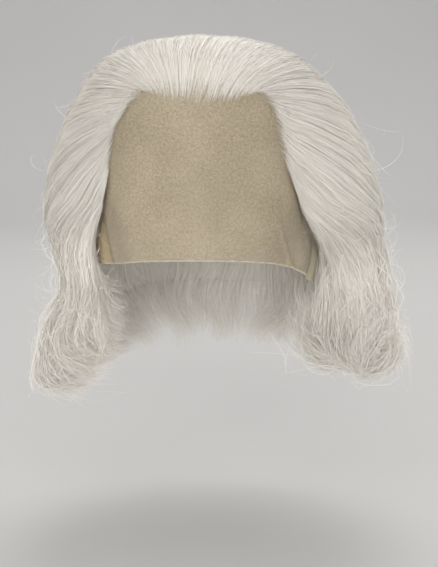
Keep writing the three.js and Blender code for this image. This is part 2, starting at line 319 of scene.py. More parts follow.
@dataclass(frozen=True)
class HairForm:
    """The body of the hair: where it flows over the head, how thick it is and how far it hangs.

    A place along the hairline is u, from -1 before the right ear through 0 at the middle to 1. The flow
    is drawn on a flat map of the head, with the crown in its middle and the level as its radius.
    """

    head: HeadForm = HeadForm()
    seat: float = 2.8
    crown_height: float = 12.0
    root_thickness: float = 1.2
    groove: Ease = Ease(0.2, 1.0, 0.8, 1.6)
    hairline_lead: float = 3.0
    hairline: SidedCurve = SidedCurve(
        HAIRLINE_PLACES,
        (0, 22, 43, 53, 60.5, 60.5, 61, 74),
        (0, 20, 40, 46, 48, 47.5, 55, 70),
    )
    hairline_drop: Curve = Curve(HAIRLINE_PLACES, (29, 26.5, 23.5, 29, 42, 62, 86, 116))
    rise: Curve = Curve(HAIRLINE_PLACES, (56, 56, 60, 68, 80, 92, 102, 110))
    hang_front: Pair = (67.0, 72.0)
    hang_back: float = 180.0
    hang_spread: float = 2.0
    parting_shift: float = 0.12
    clear: Curve = Curve(HAIRLINE_PLACES, (0.5, 0.5, 0.75, 0.95, 0.9, 0.75, 0.6, 0.5))
    lean: Ease = Ease(1.0, 0.3, 0.2, 0.52)
    bend_place: Ease = Ease(0.35, 0.5, 0.2, 0.52)
    sweep_reach: float = 2.0 / 3.0
    face_level: float = 0.95
    edge_depth: Ease = Ease(1.0, 0.32, 0.64, 1.0)
    sway_angle: float = 0.035
    sway_levels: float = 0.62
    sway_phase: float = 9.0
    wave: float = 3.6
    wave_length: float = 66.0
    wave_phase: float = 7.0
    wave_out: float = 0.5
    wave_lag: float = 1.2
    free_drop: Ease = Ease(0.0, 1.0, 60.0, 170.0)
    outer_side: SidedCurve = SidedCurve(
        OUTER_LEVELS,
        (0, 62, 86, 101, 114, 116, 104, 117, 122, 130, 127),
        (0, 60, 88, 109, 126, 130, 135, 141, 143, 130, 112),
    )
    outer_end: SidedCurve = SidedCurve(
        OUTER_LEVELS,
        (0, 58, 82, 95, 103, 104, 103, 104, 105, 105, 104),
        (0, 64, 92, 109, 120, 124, 119, 122, 127, 126, 122),
    )
    inner_side: SidedCurve = SidedCurve(
        INNER_LEVELS,
        (78.6, 80, 77, 62, 57, 60),
        (78.6, 85, 91, 83, 78, 80),
    )
    inner_end: SidedCurve = SidedCurve(
        INNER_LEVELS,
        (95.6, 97, 97, 98, 98, 98),
        (101.6, 102, 100, 98, 98, 98),
    )
    tips: SidedCurve = SidedCurve(
        (0.0, 0.25, 0.46, 0.61, 0.78, 1.0),
        (243, 244, 251, 257, 236, 212),
        (243, 240, 238, 238, 232, 222),
    )

    def lock_at(self, u: Array) -> tuple[Array, Array, Array]:
        """Return the lock at each place along the hairline.

        Args:
            u: Places along the hairline.

        Returns:
            The crest share, 1 on a lock's middle and 0 at its sides, with its ridge and its point.
        """
        rows = []
        for section in SECTIONS:
            width = (section.end - section.start) / sum(lock.share for lock in section.locks)
            place = section.start
            for lock in section.locks:
                ends = sorted((place, place + width * lock.share))
                rows.append((*ends, lock.ridge, lock.point))
                place += width * lock.share
        table = np.array(sorted(rows))
        i = np.clip(np.searchsorted(table[:, 0], u, side="right") - 1, 0, len(table) - 1)
        share = np.clip((u - table[i, 0]) / (table[i, 1] - table[i, 0]), 0.0, 1.0)
        return np.sin(share * math.pi), table[i, 2], table[i, 3]

    def tip_drop(self, u: Array) -> Array:
        """Return how far below the crown the hair from each place along the hairline hangs."""
        crest, _, point = self.lock_at(u)
        return self.tips(np.abs(u), np.sign(u)) - point * (1.0 - crest)

    @staticmethod
    def on_map(azimuth: Array, level: Array) -> Array:
        """Return places on the flat map from an azimuth and a level."""
        return np.stack([level * np.sin(azimuth), -level * np.cos(azimuth)], axis=-1)

    def flow(self, u: Array, tip: Array, samples: int, ahead: Any = 0.0) -> Array:
        """Return the way of hair over the flat map, from root to tip.

        Args:
            u: Places along the hairline that the hair starts from.
            tip: Drop of the tip of each.
            samples: Number of places on each way.
            ahead: Share of the way from the hairline to the middle of the lace that each starts at.

        Returns:
            Places on the flat map, as (line, sample, coordinate).
        """
        along = np.abs(u)
        sign = np.where(u < 0, -1.0, 1.0)
        root_azimuth = sign * np.radians(self.hairline(along, sign))
        root_level = self.head.level(self.hairline_drop(along) + self.hairline_lead)
        swept = u + self.parting_shift * (1.0 - along)
        front = np.where(swept < 0, *self.hang_front)
        hang = lerp(front, self.hang_back, (1.0 - np.abs(swept)) ** self.hang_spread)
        hang = np.radians(np.where(swept < 0, -hang, hang))
        leave = np.maximum(1.0, root_level + self.clear(along))
        root = self.on_map(root_azimuth, root_level)
        middle = self.on_map(0.0, self.face_level)
        root = lerp(root, middle, np.reshape(ahead, (-1, 1)))[:, None]
        end = self.on_map(hang, leave)[:, None]
        bend_level = lerp(root_level, leave, self.bend_place(along))
        leaned = self.on_map(lerp(root_azimuth, hang, self.lean(along)), bend_level)[:, None]
        heading = lerp(root, leaned, self.sweep_reach)
        arrival = lerp(end, self.on_map(hang, bend_level)[:, None], self.sweep_reach)
        t = np.linspace(0.0, 1.0, samples)[None, :, None]
        back = 1.0 - t
        sweep = root * back**3 + heading * 3.0 * t * back**2 + arrival * 3.0 * t**2 * back + end * t**3
        down = np.linspace(0.0, 1.0, samples)[None, 1:]
        level = lerp(leave[:, None], (tip / self.head.crown_depth)[:, None], down)
        past = (level - leave[:, None]) / self.sway_levels
        turn = self.sway_angle * smoothstep(past, 0.0, 1.0)
        turn = turn * np.sin(past * math.tau + self.sway_phase * u[:, None])
        hanging = self.on_map(hang[:, None] + turn, level)
        ways = np.concatenate([sweep, hanging], axis=1)
        return resample(ways, np.tile(np.linspace(0.0, 1.0, samples), (len(u), 1)))

    def point(self, spots: Array, share: Array) -> Array:
        """Return points in the thickness of the hair.

        Args:
            spots: Places on the flat map.
            share: 0 on the hair's inner form, 1 on its outer form.

        Returns:
            The points, with coordinates on the last axis.
        """
        level = np.linalg.norm(spots, axis=-1)
        azimuth = np.arctan2(spots[..., 0], -spots[..., 1])
        drop = self.head.drop(level)
        side = np.sign(spots[..., 0])
        end = np.where(spots[..., 1] < 0, -1.0, 1.0)
        across, ahead = self.head.plan(azimuth)
        inner = self.head.point(azimuth, np.minimum(drop, self.head.crown_depth), self.seat)
        hanging = np.stack(
            [self.inner_side(level, side) * across, -self.inner_end(level, end) * ahead, -drop],
            axis=-1,
        )
        inner = np.where((level > 1.0)[..., None], hanging, inner)
        above = np.maximum(0.0, 1.0 - drop / self.head.crown_depth)
        outer = np.stack(
            [
                self.outer_side(level, side) * np.sin(azimuth),
                -self.outer_end(level, end) * np.cos(azimuth),
                self.crown_height * above - drop,
            ],
            axis=-1,
        )
        return lerp(inner, outer, share[..., None])

    def wall(self, u: Array, tip: Array, samples: int, ahead: Any = 0.0) -> tuple[Array, Array]:
        """Return the inner and outer lines of the locks, from root to tip.

        Args:
            u: Places along the hairline.
            tip: Drop of the tip of each line.
            samples: Number of points on each line.
            ahead: Share of the way from the hairline to the middle of the lace that each starts at.

        Returns:
            Inner points and outer points, each as (line, sample, coordinate).
        """
        spots = self.flow(u, tip, samples, ahead)
        inner = self.point(spots, np.zeros(spots.shape[:2]))
        rise = smoothstep(lengths(inner) / self.rise(np.abs(u))[:, None], 0.0, 1.0)
        full = self.point(spots, self.edge_depth(np.abs(u))[:, None] * rise) - inner
        whole = self.point(spots, np.ones(spots.shape[:2])) - inner
        thickness = np.linalg.norm(full, axis=-1)
        crest, ridge, _ = self.lock_at(u)
        groove = (ridge * (1.0 - crest))[:, None] * rise * self.groove(np.linalg.norm(spots, axis=-1))
        kept = np.maximum(self.root_thickness, thickness - groove)
        out = unit(np.where((thickness < self.root_thickness)[..., None], whole, full))
        outer = inner + out * kept[..., None]
        hang = self.hang(inner)
        roll = math.tau * inner[..., 2] / self.wave_length + self.wave_phase * u[:, None]
        across = np.cross(unit(np.gradient(inner, axis=1)), out)
        shift = across * (self.wave * hang * np.sin(roll))[..., None]
        outward = self.wave_out * self.wave * hang * np.sin(roll + self.wave_lag)
        shift = shift + out * outward[..., None]
        return inner + shift, outer + shift

    def hang(self, points: Array) -> Array:
        """Return how freely the hair hangs at each point, from 0 on the crown to 1 below the ears."""
        return self.free_drop(-points[..., 2])


class Value:
    """A shader socket that takes part in Python arithmetic."""

    def __init__(self, shader: "Shader", socket: bpy.types.NodeSocket) -> None:
        """Wrap a socket of a shader's node."""
        self.shader = shader
        self.socket = socket

    def maths(self, operation: str, *values: Any) -> "Value":
        """Return the result of a Math node on the given values."""
        sockets = dict(enumerate(values))
        return self.shader.node("ShaderNodeMath", {"operation": operation}, sockets)

    def __add__(self, other: Any) -> "Value":
        """Return self + other."""
        return self.maths("ADD", self, other)

    __radd__ = __add__

    def __sub__(self, other: Any) -> "Value":
        """Return self - other."""
        return self.maths("SUBTRACT", self, other)

    def __rsub__(self, other: Any) -> "Value":
        """Return other - self."""
        return self.maths("SUBTRACT", other, self)

    def __mul__(self, other: Any) -> "Value":
        """Return self * other."""
        return self.maths("MULTIPLY", self, other)

    __rmul__ = __mul__

    def at_least(self, other: Any) -> "Value":
        """Return the larger of self and other."""
        return self.maths("MAXIMUM", self, other)

    def to_middle(self) -> "Value":
        """Return a zigzag of self with period 1: 0 at whole numbers and 1 halfway."""
        return 2.0 * self.maths("PINGPONG", self, 0.5)

    def step(self, low: float, high: float) -> "Value":
        """Return a soft step of self from 0 at low to 1 at high."""
        ramp = {"interpolation_type": "SMOOTHSTEP"}
        return self.shader.node("ShaderNodeMapRange", ramp, {0: self, 1: low, 2: high, 3: 0.0, 4: 1.0})


class Shader:
    """A material under construction, with one Principled shader."""

    def __init__(self, name: str) -> None:
        """Start an empty material.

        Args:
            name: Name of the material.
        """
        self.material = bpy.data.materials.new(name)
        self.material.use_nodes = True
        self.tree = self.material.node_tree
        self.tree.nodes.clear()
        self.surface = self.tree.nodes.new("ShaderNodeBsdfPrincipled")
        output = self.tree.nodes.new("ShaderNodeOutputMaterial")
        self.tree.links.new(self.surface.outputs[0], output.inputs["Surface"])

    def put(self, socket: bpy.types.NodeSocket, value: Any) -> None:
        """Feed an input of a node.

        Args:
            socket: The input.
            value: A wrapped socket to link, or a number or colour to set.
        """
        if isinstance(value, Value):
            self.tree.links.new(value.socket, socket)
        elif isinstance(value, tuple) and socket.type == "RGBA":
            socket.default_value = (*value, 1.0)
        else:
            socket.default_value = value

    def node(
        self,
        kind: str,
        settings: Mapping[str, Any] | None = None,
        sockets: Mapping[Any, Any] | None = None,
        output: Any = 0,
    ) -> Value:
        """Add a node.

        Args:
            kind: Blender's type of the node.
            settings: Properties of the node, set first; "stops" gives a ramp's places and colours.
            sockets: Values or links of the inputs, by name or number.
            output: Name or number of the output that is wanted.

        Returns:
            The wrapped output.
        """
        node = self.tree.nodes.new(kind)
        for key, setting in (settings or {}).items():
            if key == "stops":
                self.set_stops(node, setting)
            else:
                setattr(node, key, setting)
        for key, value in (sockets or {}).items():
            self.put(node.inputs[key], value)
        return Value(self, node.outputs[output])

    @staticmethod
    def set_stops(node: bpy.types.Node, stops: Sequence[tuple[float, Colour]]) -> None:
        """Give a ramp its stops.

        Args:
            node: The ramp.
            stops: Place and colour of each.
        """
        elements = node.color_ramp.elements
        while len(elements) < len(stops):
            elements.new(1.0)
        for element, (place, colour) in zip(elements, stops):
            element.position = place
            element.color = (*colour, 1.0)

    def map_axes(self, name: str) -> tuple[Value, Value]:
        """Return the two coordinates of one of the mesh's maps.

        Args:
            name: Name of the map.

        Returns:
            The coordinate across and the coordinate up.
        """
        place = self.node("ShaderNodeUVMap", {"uv_map": name})
        parts = {"Vector": place}
        x = self.node("ShaderNodeSeparateXYZ", None, parts, "X")
        return x, Value(self, x.socket.node.outputs["Y"])

    def ramp(self, value: Value, *stops: tuple[float, Colour]) -> Value:
        """Return the colour of a value on a ramp."""
        return self.node("ShaderNodeValToRGB", {"stops": stops}, {"Fac": value})

    def blend(self, share: Any, low: Any, high: Any) -> Value:
        """Return a mix of two colours."""
        return self.node("ShaderNodeMix", {"data_type": "RGBA"}, {0: share, 6: low, 7: high}, 2)

    def noise(self, x: Any, y: Any, detail: float = 2.0) -> Value:
        """Return smooth noise over two coordinates.

        Args:
            x: First coordinate.
            y: Second coordinate.
            detail: Number of finer octaves.

        Returns:
            The noise, about 0 to 1.
        """
        place = self.node("ShaderNodeCombineXYZ", None, {"X": x, "Y": y})
        sockets = {"Vector": place, "Scale": 1.0, "Detail": detail}
        return self.node("ShaderNodeTexNoise", {"noise_dimensions": "2D"}, sockets)

    def bump(self, height: Value, strength: float, distance: float) -> None:
        """Raise the surface's relief by a height."""
        sockets = {"Height": height, "Strength": strength, "Distance": distance}
        self.finish({"Normal": self.node("ShaderNodeBump", None, sockets)})

    def finish(self, sockets: Mapping[str, Any]) -> None:
        """Set inputs of the Principled shader."""
        for name, value in sockets.items():
            self.put(self.surface.inputs[name], value)


@dataclass(frozen=True)
class StrandFinish:
    """White hair, seen strand by strand. A strand's map holds its tone and the place along it."""

    pale: Colour = (0.89, 0.865, 0.82)
    mid: Colour = (0.82, 0.785, 0.73)
    warm: Colour = (0.74, 0.69, 0.61)
    drift_scale: Pair = (90.0, 7.0)
    drift_range: Pair = (0.35, 0.75)
    drift_share: float = 0.35
    roughness: float = 0.42
    roughness_drift: float = 0.12
    specular: float = 0.45

    def material(self, name: str) -> bpy.types.Material:
        """Return the finish as a material.

        Args:
            name: Name of the material.

        Returns:
            The material.
        """
        shader = Shader(name)
        tone, along = shader.map_axes(BAKE_MAP)
        colour = shader.ramp(tone, (0.0, self.warm), (0.22, self.mid), (0.75, self.pale))
        drift = shader.noise(tone * self.drift_scale[0], along * self.drift_scale[1])
        shade = shader.blend(drift.step(*self.drift_range) * self.drift_share, colour, self.mid)
        shader.finish({"Base Color": shade, "Roughness": self.roughness + drift * self.roughness_drift})
        shader.finish({"Specular IOR Level": self.specular})
        return shader.material


@dataclass(frozen=True)
class MassFinish:
    """The dense hair under the strands. Its flat map holds millimetres across and along the hair."""

    pale: Colour = (0.89, 0.865, 0.82)
    mid: Colour = (0.83, 0.795, 0.74)
    # painted shade: the darkest streak colour, which the ramp puts in the grooves of the relief between
    # strands
    groove_shade: Colour = (0.80, 0.77, 0.715)
    root: Colour = (0.82, 0.76, 0.64)
    strand_scale: Pair = (2.0, 0.012)
    strand_share: float = 0.7
    clump_scale: Pair = (0.22, 0.006)
    clump_share: float = 0.3
    root_length: float = 30.0
    roughness: float = 0.65
    roughness_streak: float = 0.15
    specular: float = 0.25
    relief_strength: float = 0.6
    relief: float = 0.0006

    def material(self, name: str) -> bpy.types.Material:
        """Return the finish as a material.

        Args:
            name: Name of the material.

        Returns:
            The material.
        """
        shader = Shader(name)
        across, along = shader.map_axes(FLAT_MAP)
        fine = shader.noise(across * self.strand_scale[0], along * self.strand_scale[1], 3.0)
        broad = shader.noise(across * self.clump_scale[0], along * self.clump_scale[1])
        streak = fine * self.strand_share + broad * self.clump_share
        # streak is both the relief's height and the tone: its low parts, the grooves, get painted shade
        # besides a random darker tone
        colour = shader.ramp(streak, (0.3, self.groove_shade), (0.5, self.mid), (0.68, self.pale))
        colour = shader.blend(along.step(0.0, self.root_length), self.root, colour)
        shader.finish({"Base Color": colour, "Roughness": self.roughness - streak * self.roughness_streak})
        shader.finish({"Specular IOR Level": self.specular})
        shader.bump(streak, self.relief_strength, self.relief)
        return shader.material


@dataclass(frozen=True)
class Mottle:
    """A layer of mottled shade: scale and detail of its noise, its range and its share of the shade."""

    scale: float
    detail: float
    low: float
    high: float
    share: float


@dataclass(frozen=True)
class NetFinish:
    """Fine net whose threads cross at 60 degrees.

    Its flat map holds millimetres, across from the middle and up from the lower edge. A see-through net
    is the lace: its lower corners stand free of the head, folded on the right and sheer on the left.
    """

    thread: Colour
    shade: Colour
    hem: Colour
    cell: float
    cover: float
    see_through: bool
    thread_edge: float = 0.55
    # clouds, grain and specks
    mottles: tuple[Mottle, ...] = (
        Mottle(0.03, 3.0, 0.25, 0.75, 0.25),
        Mottle(0.9, 4.0, 0.36, 0.64, 0.45),
        Mottle(0.42, 2.0, 0.3, 0.7, 0.3),
    )
    hem_width: float = 1.3
    fray: float = 1.2
    fray_scale: float = 1.1
    free_from: float = 84.0
    free_slant: float = 0.36
    free_cover: float = 0.6
    free_border: Pair = (-3.0, 6.0)
    fold: Colour = (0.50, 0.39, 0.215)
    fold_share: float = 0.8
    fold_border: Pair = (-0.8, 1.6)
    flap: Colour = (0.72, 0.65, 0.48)
    flap_from: float = 103.0
    flap_share: float = 0.85
    flap_border: Pair = (-0.8, 1.2)
    roughness: float = 0.7
    roughness_cloud: float = 0.15
    specular: float = 0.3
    relief_strength: float = 0.5
    relief: float = 0.0002

    def threads(self, x: Value, y: Value) -> Value:
        """Return where the net has threads.

        Args:
            x: Millimetres across on the flat map.
            y: Millimetres up.

        Returns:
            A mask: 1 on a thread and 0 in a cell.
        """
        net = None
        for degrees in (0.0, 60.0, 120.0):
            turned = x * (math.cos(math.radians(degrees)) / self.cell)
            turned = turned + y * (math.sin(math.radians(degrees)) / self.cell)
            line = turned.to_middle().step(1.0 - self.cover, 1.0 - self.cover * self.thread_edge)
            net = line if net is None else net.at_least(line)
        return net

    def material(self, name: str) -> bpy.types.Material:
        """Return the finish as a material.

        Args:
            name: Name of the material.

        Returns:
            The material.
        """
        shader = Shader(name)
        x, y = shader.map_axes(FLAT_MAP)
        net = self.threads(x, y)
        noises = [shader.noise(x * layer.scale, y * layer.scale, layer.detail) for layer in self.mottles]
        shades = [
            noise.step(layer.low, layer.high) * layer.share for noise, layer in zip(noises, self.mottles)
        ]
        fray = shader.noise(x * self.fray_scale, 0.5, 3.0) * (2.0 * self.fray) - self.fray
        edge = 1.0 - (y + fray).step(self.hem_width * 0.5, self.hem_width)
        colour = shader.blend(shades[0] + shades[1] + shades[2], self.shade, self.thread)
        if self.see_through:
            slant = y * self.free_slant
            border = self.free_from + slant
            folded = (0.0 - x - border).step(*self.fold_border)
            flap = (x - self.flap_from - slant).step(*self.flap_border)
            free = (x - border).step(*self.free_border) * (1.0 - flap)
            colour = shader.blend(folded * self.fold_share, colour, self.fold)
            colour = shader.blend(flap * self.flap_share, colour, self.flap)
            cover = net * (1.0 - free * (1.0 - self.free_cover))
            shader.finish({"Alpha": cover.at_least(edge)})
        shader.finish({"Base Color": shader.blend(edge, colour, self.hem)})
        shader.finish({"Roughness": self.roughness + noises[0] * self.roughness_cloud})
        shader.finish({"Specular IOR Level": self.specular})
        shader.bump(net, self.relief_strength, self.relief)
        return shader.material


@dataclass(frozen=True)
class FloorFinish:
    """Plain pale studio floor with a slight mottle."""

    pale: Colour = (0.60, 0.596, 0.59)
    mid: Colour = (0.56, 0.556, 0.55)
    mottle_scale: float = 3.0
    mottle_detail: float = 4.0
    roughness: float = 0.85

    def material(self, name: str) -> bpy.types.Material:
        """Return the finish as a material.

        Args:
            name: Name of the material.

        Returns:
            The material.
        """
        shader = Shader(name)
        place = shader.node("ShaderNodeTexCoord", None, None, "Object")
        sockets = {"Vector": place, "Scale": self.mottle_scale, "Detail": self.mottle_detail}
        mottle = shader.node("ShaderNodeTexNoise", None, sockets)
        colour = shader.blend(mottle, self.mid, self.pale)
        shader.finish({"Base Color": colour, "Roughness": self.roughness})
        return shader.material


class MeshMaker:
    """Makes mesh objects from arrays in millimetres.

    On the bake map a wall's layers lie one above the other, each with a margin that its rims reach into,
    and each strand is an upright sliver at the place of its tone.
    """

    MARGIN = 0.02
    LAYER_WIDTH = 0.96
    LAYER_HEIGHT = 0.46
    RIM = 0.015
    SLIVER_MARGIN = 0.01
    SLIVER_WIDTH = 0.004
    SLIVER_HEIGHT = 0.98
    TONE_WIDTH = 0.97
    HEAD_MIDDLE = (0.0, 0.0, -90.0)

    @staticmethod
    def make(
        name: str,
        points: Array,
        faces: Array,
        maps: Mapping[str, Array],
        material: bpy.types.Material,
    ) -> bpy.types.Object:
        """Make an object.

        Args:
            name: Name of the object.
            points: Corner points in millimetres, as (point, coordinate).
            faces: Four corners of each face, the last -1 where it has three.
            maps: Map coordinates by name, as (face, corner, 2).
            material: The finish.

        Returns:
            The object, linked to the scene.
        """
        mesh = bpy.data.meshes.new(name)
        used = faces >= 0
        counts = used.sum(axis=1)
        corners = faces[used]
        mesh.vertices.add(len(points))
        mesh.vertices.foreach_set("co", (points * MM).astype(np.float32).ravel())
        mesh.loops.add(len(corners))
        mesh.loops.foreach_set("vertex_index", corners.astype(np.int32))
        mesh.polygons.add(len(faces))
        starts = np.concatenate([[0], np.cumsum(counts)[:-1]])
        mesh.polygons.foreach_set("loop_start", starts.astype(np.int32))
        mesh.polygons.foreach_set("use_smooth", np.ones(len(faces), bool))
        for map_name, places in maps.items():
            layer = mesh.uv_layers.new(name=map_name)
            layer.uv.foreach_set("vector", places[used].astype(np.float32).ravel())
        mesh.materials.append(material)
        mesh.update(calc_edges=True)
        mesh.validate()
        thing = bpy.data.objects.new(name, mesh)
        bpy.context.scene.collection.objects.link(thing)
        return thing

    @classmethod
    def wall(
        cls,
        name: str,
        inner: Array,
        outer: Array,
        flat: Array,
        material: bpy.types.Material,
        ring: bool = False,
    ) -> bpy.types.Object:
        """Make a closed wall between two grids of points.

        Args:
            name: Name of the object.
            inner: Inner points in millimetres, as (row, column, coordinate).
            outer: Outer points, the same way.
            flat: Flat pattern coordinates of the grid in millimetres, as (row, column, 2).
            material: The finish.
            ring: True if the last column joins the first and the first row is one point.

        Returns:
            The object.
        """
        rows, columns = inner.shape[:2]
        points = np.concatenate([inner.reshape(-1, 3), outer.reshape(-1, 3)])
        faces: list[tuple[int, ...]] = []
        places: list[tuple[Pair, ...]] = []
        spans = columns if ring else columns - 1

        def corner(layer: int, j: int, i: int) -> int:
            """Return the number of a grid point; a ring's first row is its first point."""
            column = 0 if ring and j == 0 else i % columns
            return layer * rows * columns + j * columns + column

        def add(corners: tuple[int, ...], spots: tuple[Pair, ...]) -> None:
            """Add a face, as a triangle where two of its corners are one.

            Args:
                corners: Numbers of its four points.
                spots: Their places on the bake map.
            """
            kept = [k for k in range(4) if corners[k] not in corners[:k]]
            faces.append(tuple([corners[k] for k in kept] + [-1] * (4 - len(kept))))
            places.append(tuple([spots[k] for k in kept] + [(0.0, 0.0)] * (4 - len(kept))))

        def spot(layer: float, j: float, i: float) -> Pair:
            """Return a grid point's place on the bake map."""
            over = 0.5 * layer + cls.MARGIN + cls.LAYER_HEIGHT * j / (rows - 1)
            return cls.MARGIN + cls.LAYER_WIDTH * i / spans, over

        def rim(start: tuple[int, int], end: tuple[int, int], order: int, side: Pair) -> None:
            """Close the wall along an edge of the grid.

            Args:
                start: Row and column of the edge's first point.
                end: Row and column of its second point.
                order: 1, or -1 where the face turns the other way.
                side: How far the inner points are set aside on the bake map.
            """
            loop = [(0, *start), (0, *end), (1, *end), (1, *start)][::order]
            spots = []
            for layer, j, i in loop:
                x, y = spot(1, j, i)
                spots.append((x + side[0] * (1 - layer), y + side[1] * (1 - layer)))
            add(tuple(corner(*at) for at in loop), tuple(spots))

        for j in range(rows - 1):
            for i in range(spans):
                cell = ((j, i), (j + 1, i), (j + 1, i + 1), (j, i + 1))
                for layer, loop in ((1, cell), (0, cell[::-1])):
                    add(tuple(corner(layer, *at) for at in loop), tuple(spot(layer, *at) for at in loop))
            for i, side in () if ring else ((0, -cls.RIM), (columns - 1, cls.RIM)):
                rim((j, i), (j + 1, i), 1 if i == 0 else -1, (side, 0.0))
        rims = ((rows - 1, cls.RIM), (0, -cls.RIM))
        for i in range(spans):
            for j, side in rims[:1] if ring else rims:
                rim((j, i), (j, i + 1), 1 if j else -1, (0.0, side))
        face_array = np.array(faces)
        flats = np.concatenate([flat.reshape(-1, 2), flat.reshape(-1, 2)])
        maps = {BAKE_MAP: np.array(places), FLAT_MAP: flats[np.maximum(face_array, 0)]}
        return cls.make(name, points, face_array, maps, material)

    @classmethod
    def ribbons(
        cls,
        name: str,
        lines: Array,
        facing: Array,
        radius: Array,
        tone: Array,
        material: bpy.types.Material,
    ) -> bpy.types.Object:
        """Make strands: narrow ribbons that taper at both ends.

        Args:
            name: Name of the object.
            lines: Middle lines in millimetres, as (strand, point, coordinate).
            facing: Angle by which each ribbon is rolled at each point, as (strand, point).
            radius: Half width at each point in millimetres, as (strand, point).
            tone: Tone of each strand from 0 to 1.
            material: The finish.

        Returns:
            The object.
        """
        count, stations = lines.shape[:2]
        along = unit(np.gradient(lines, axis=1))
        across = np.empty_like(lines)
        side = np.cross(along[:, 0], lines[:, 0] - np.array(cls.HEAD_MIDDLE))
        for k in range(stations):
            side = unit(side - along[:, k] * (side * along[:, k]).sum(axis=1, keepdims=True))
            across[:, k] = side
        across = across * np.cos(facing)[..., None] + np.cross(along, across) * np.sin(facing)[..., None]
        reach = across * radius[..., None]
        points = np.stack([lines - reach, lines + reach], axis=2)
        grid = np.arange(stations * 2).reshape(stations, 2)
        pattern = np.stack([grid[:-1, 0], grid[:-1, 1], grid[1:, 1], grid[1:, 0]], axis=-1)
        faces = pattern[None] + (np.arange(count) * stations * 2)[:, None, None]
        spots = np.empty((count, stations, 2, 2))
        place = cls.SLIVER_HEIGHT * np.arange(stations) / (stations - 1)
        edges = np.array([0.0, cls.SLIVER_WIDTH])
        spots[..., 0] = cls.SLIVER_MARGIN + cls.TONE_WIDTH * tone[:, None, None] + edges
        spots[..., 1] = (cls.SLIVER_MARGIN + place)[:, None]
        maps = {BAKE_MAP: spots.reshape(count, -1, 2)[:, pattern].reshape(-1, 4, 2)}
        return cls.make(name, points.reshape(-1, 3), faces.reshape(-1, 4), maps, material)


@dataclass
class HairMass:
    """The dense body of one section of hair, which the strands lie on."""

    form: HairForm
    section: Section
    finish: bpy.types.Material
    columns_per_lock: int = 8
    rows: int = 40
    samples: int = 80
    parting: float = 0.0015
    front_edge: float = 0.965
    behind_hairline: Ease = Ease(20.0, 48.0, 0.3, 0.55)
    ragged: float = 9.0
    short_of_tips: float = 58.0
    inner_share: Ease = Ease(0.10, 0.5, 0.75, 1.0)
    outer_share: Ease = Ease(0.92, 0.56, 0.75, 1.0)
    root_share: float = 0.12
    opening: Ease = Ease(0.0, 1.0, -0.02, 0.16)
    root_sink: float = 3.4
    sink_fade: Ease = Ease(1.0, 0.0, 0.0, 22.0)
    temple_fade: Ease = Ease(1.0, 0.0, 0.55, 0.75)
    flat_width: float = 150.0

    def build(self) -> bpy.types.Object:
        """Build the section's mass.

        Returns:
            The piece, which stands for the section's solid.
        """
        section = self.section
        gap = math.copysign(self.parting, section.end - section.start)
        count = len(section.locks) * self.columns_per_lock + 1
        ends = np.clip([section.start + gap, section.end - gap], -self.front_edge, self.front_edge)
        u = np.linspace(*ends, count)
        along = np.abs(u)
        chance = np.random.default_rng(SEED)
        tip = self.form.tips(along, np.sign(u)) - self.short_of_tips
        inner, outer = self.form.wall(u, tip, self.samples)
        behind = self.behind_hairline(along) + self.ragged * (chance.random(count) - 0.5)
        start = behind / lengths(inner)[:, -1]
        place = np.linspace(0.0, 1.0, self.rows)[None]
        stations = lerp(start[:, None], 1.0, place)
        inner = resample(inner, stations)
        outer = resample(outer, stations)
        place = place[..., None]
        low = lerp(inner, outer, self.inner_share(place))
        high = lerp(inner, outer, lerp(self.root_share, self.outer_share(place), self.opening(place)))
        sunk = self.root_sink * self.sink_fade(lengths(inner)) * self.temple_fade(along)[:, None]
        sink = unit(outer - inner) * sunk[..., None]
        low = low - sink
        high = high - sink
        across = np.broadcast_to(u[:, None] * self.flat_width, stations.shape)
        flat = np.stack([across, lengths(high)], axis=-1)
        grids = [np.swapaxes(part, 0, 1) for part in (low, high, flat)]
        return MeshMaker.wall(f"{section.node}_mass", *grids, self.finish)


class Growth(Enum):
    """Where the strands of a batch are seen to start."""

    HAIRLINE = "on the lace, at the hairline"
    WITHIN = "inside the hair"


@dataclass(frozen=True)
class StrandPlan:
    """A batch of strands: where they grow, how many, and how loosely they lie.

    Places u lie along the hairline, starts are shares of the hair's length and layers are shares of its
    thickness. Radius and lengths are in millimetres.
    """

    name: str
    growth: Growth
    u_from: float
    u_to: float
    count: int
    segments: int
    start_from: float
    start_to: float
    layer_from: float
    layer_to: float
    radius: float = 0.12
    frizz: float = 1.2
    frizz_length: float = 72.0
    clump: float = 0.12


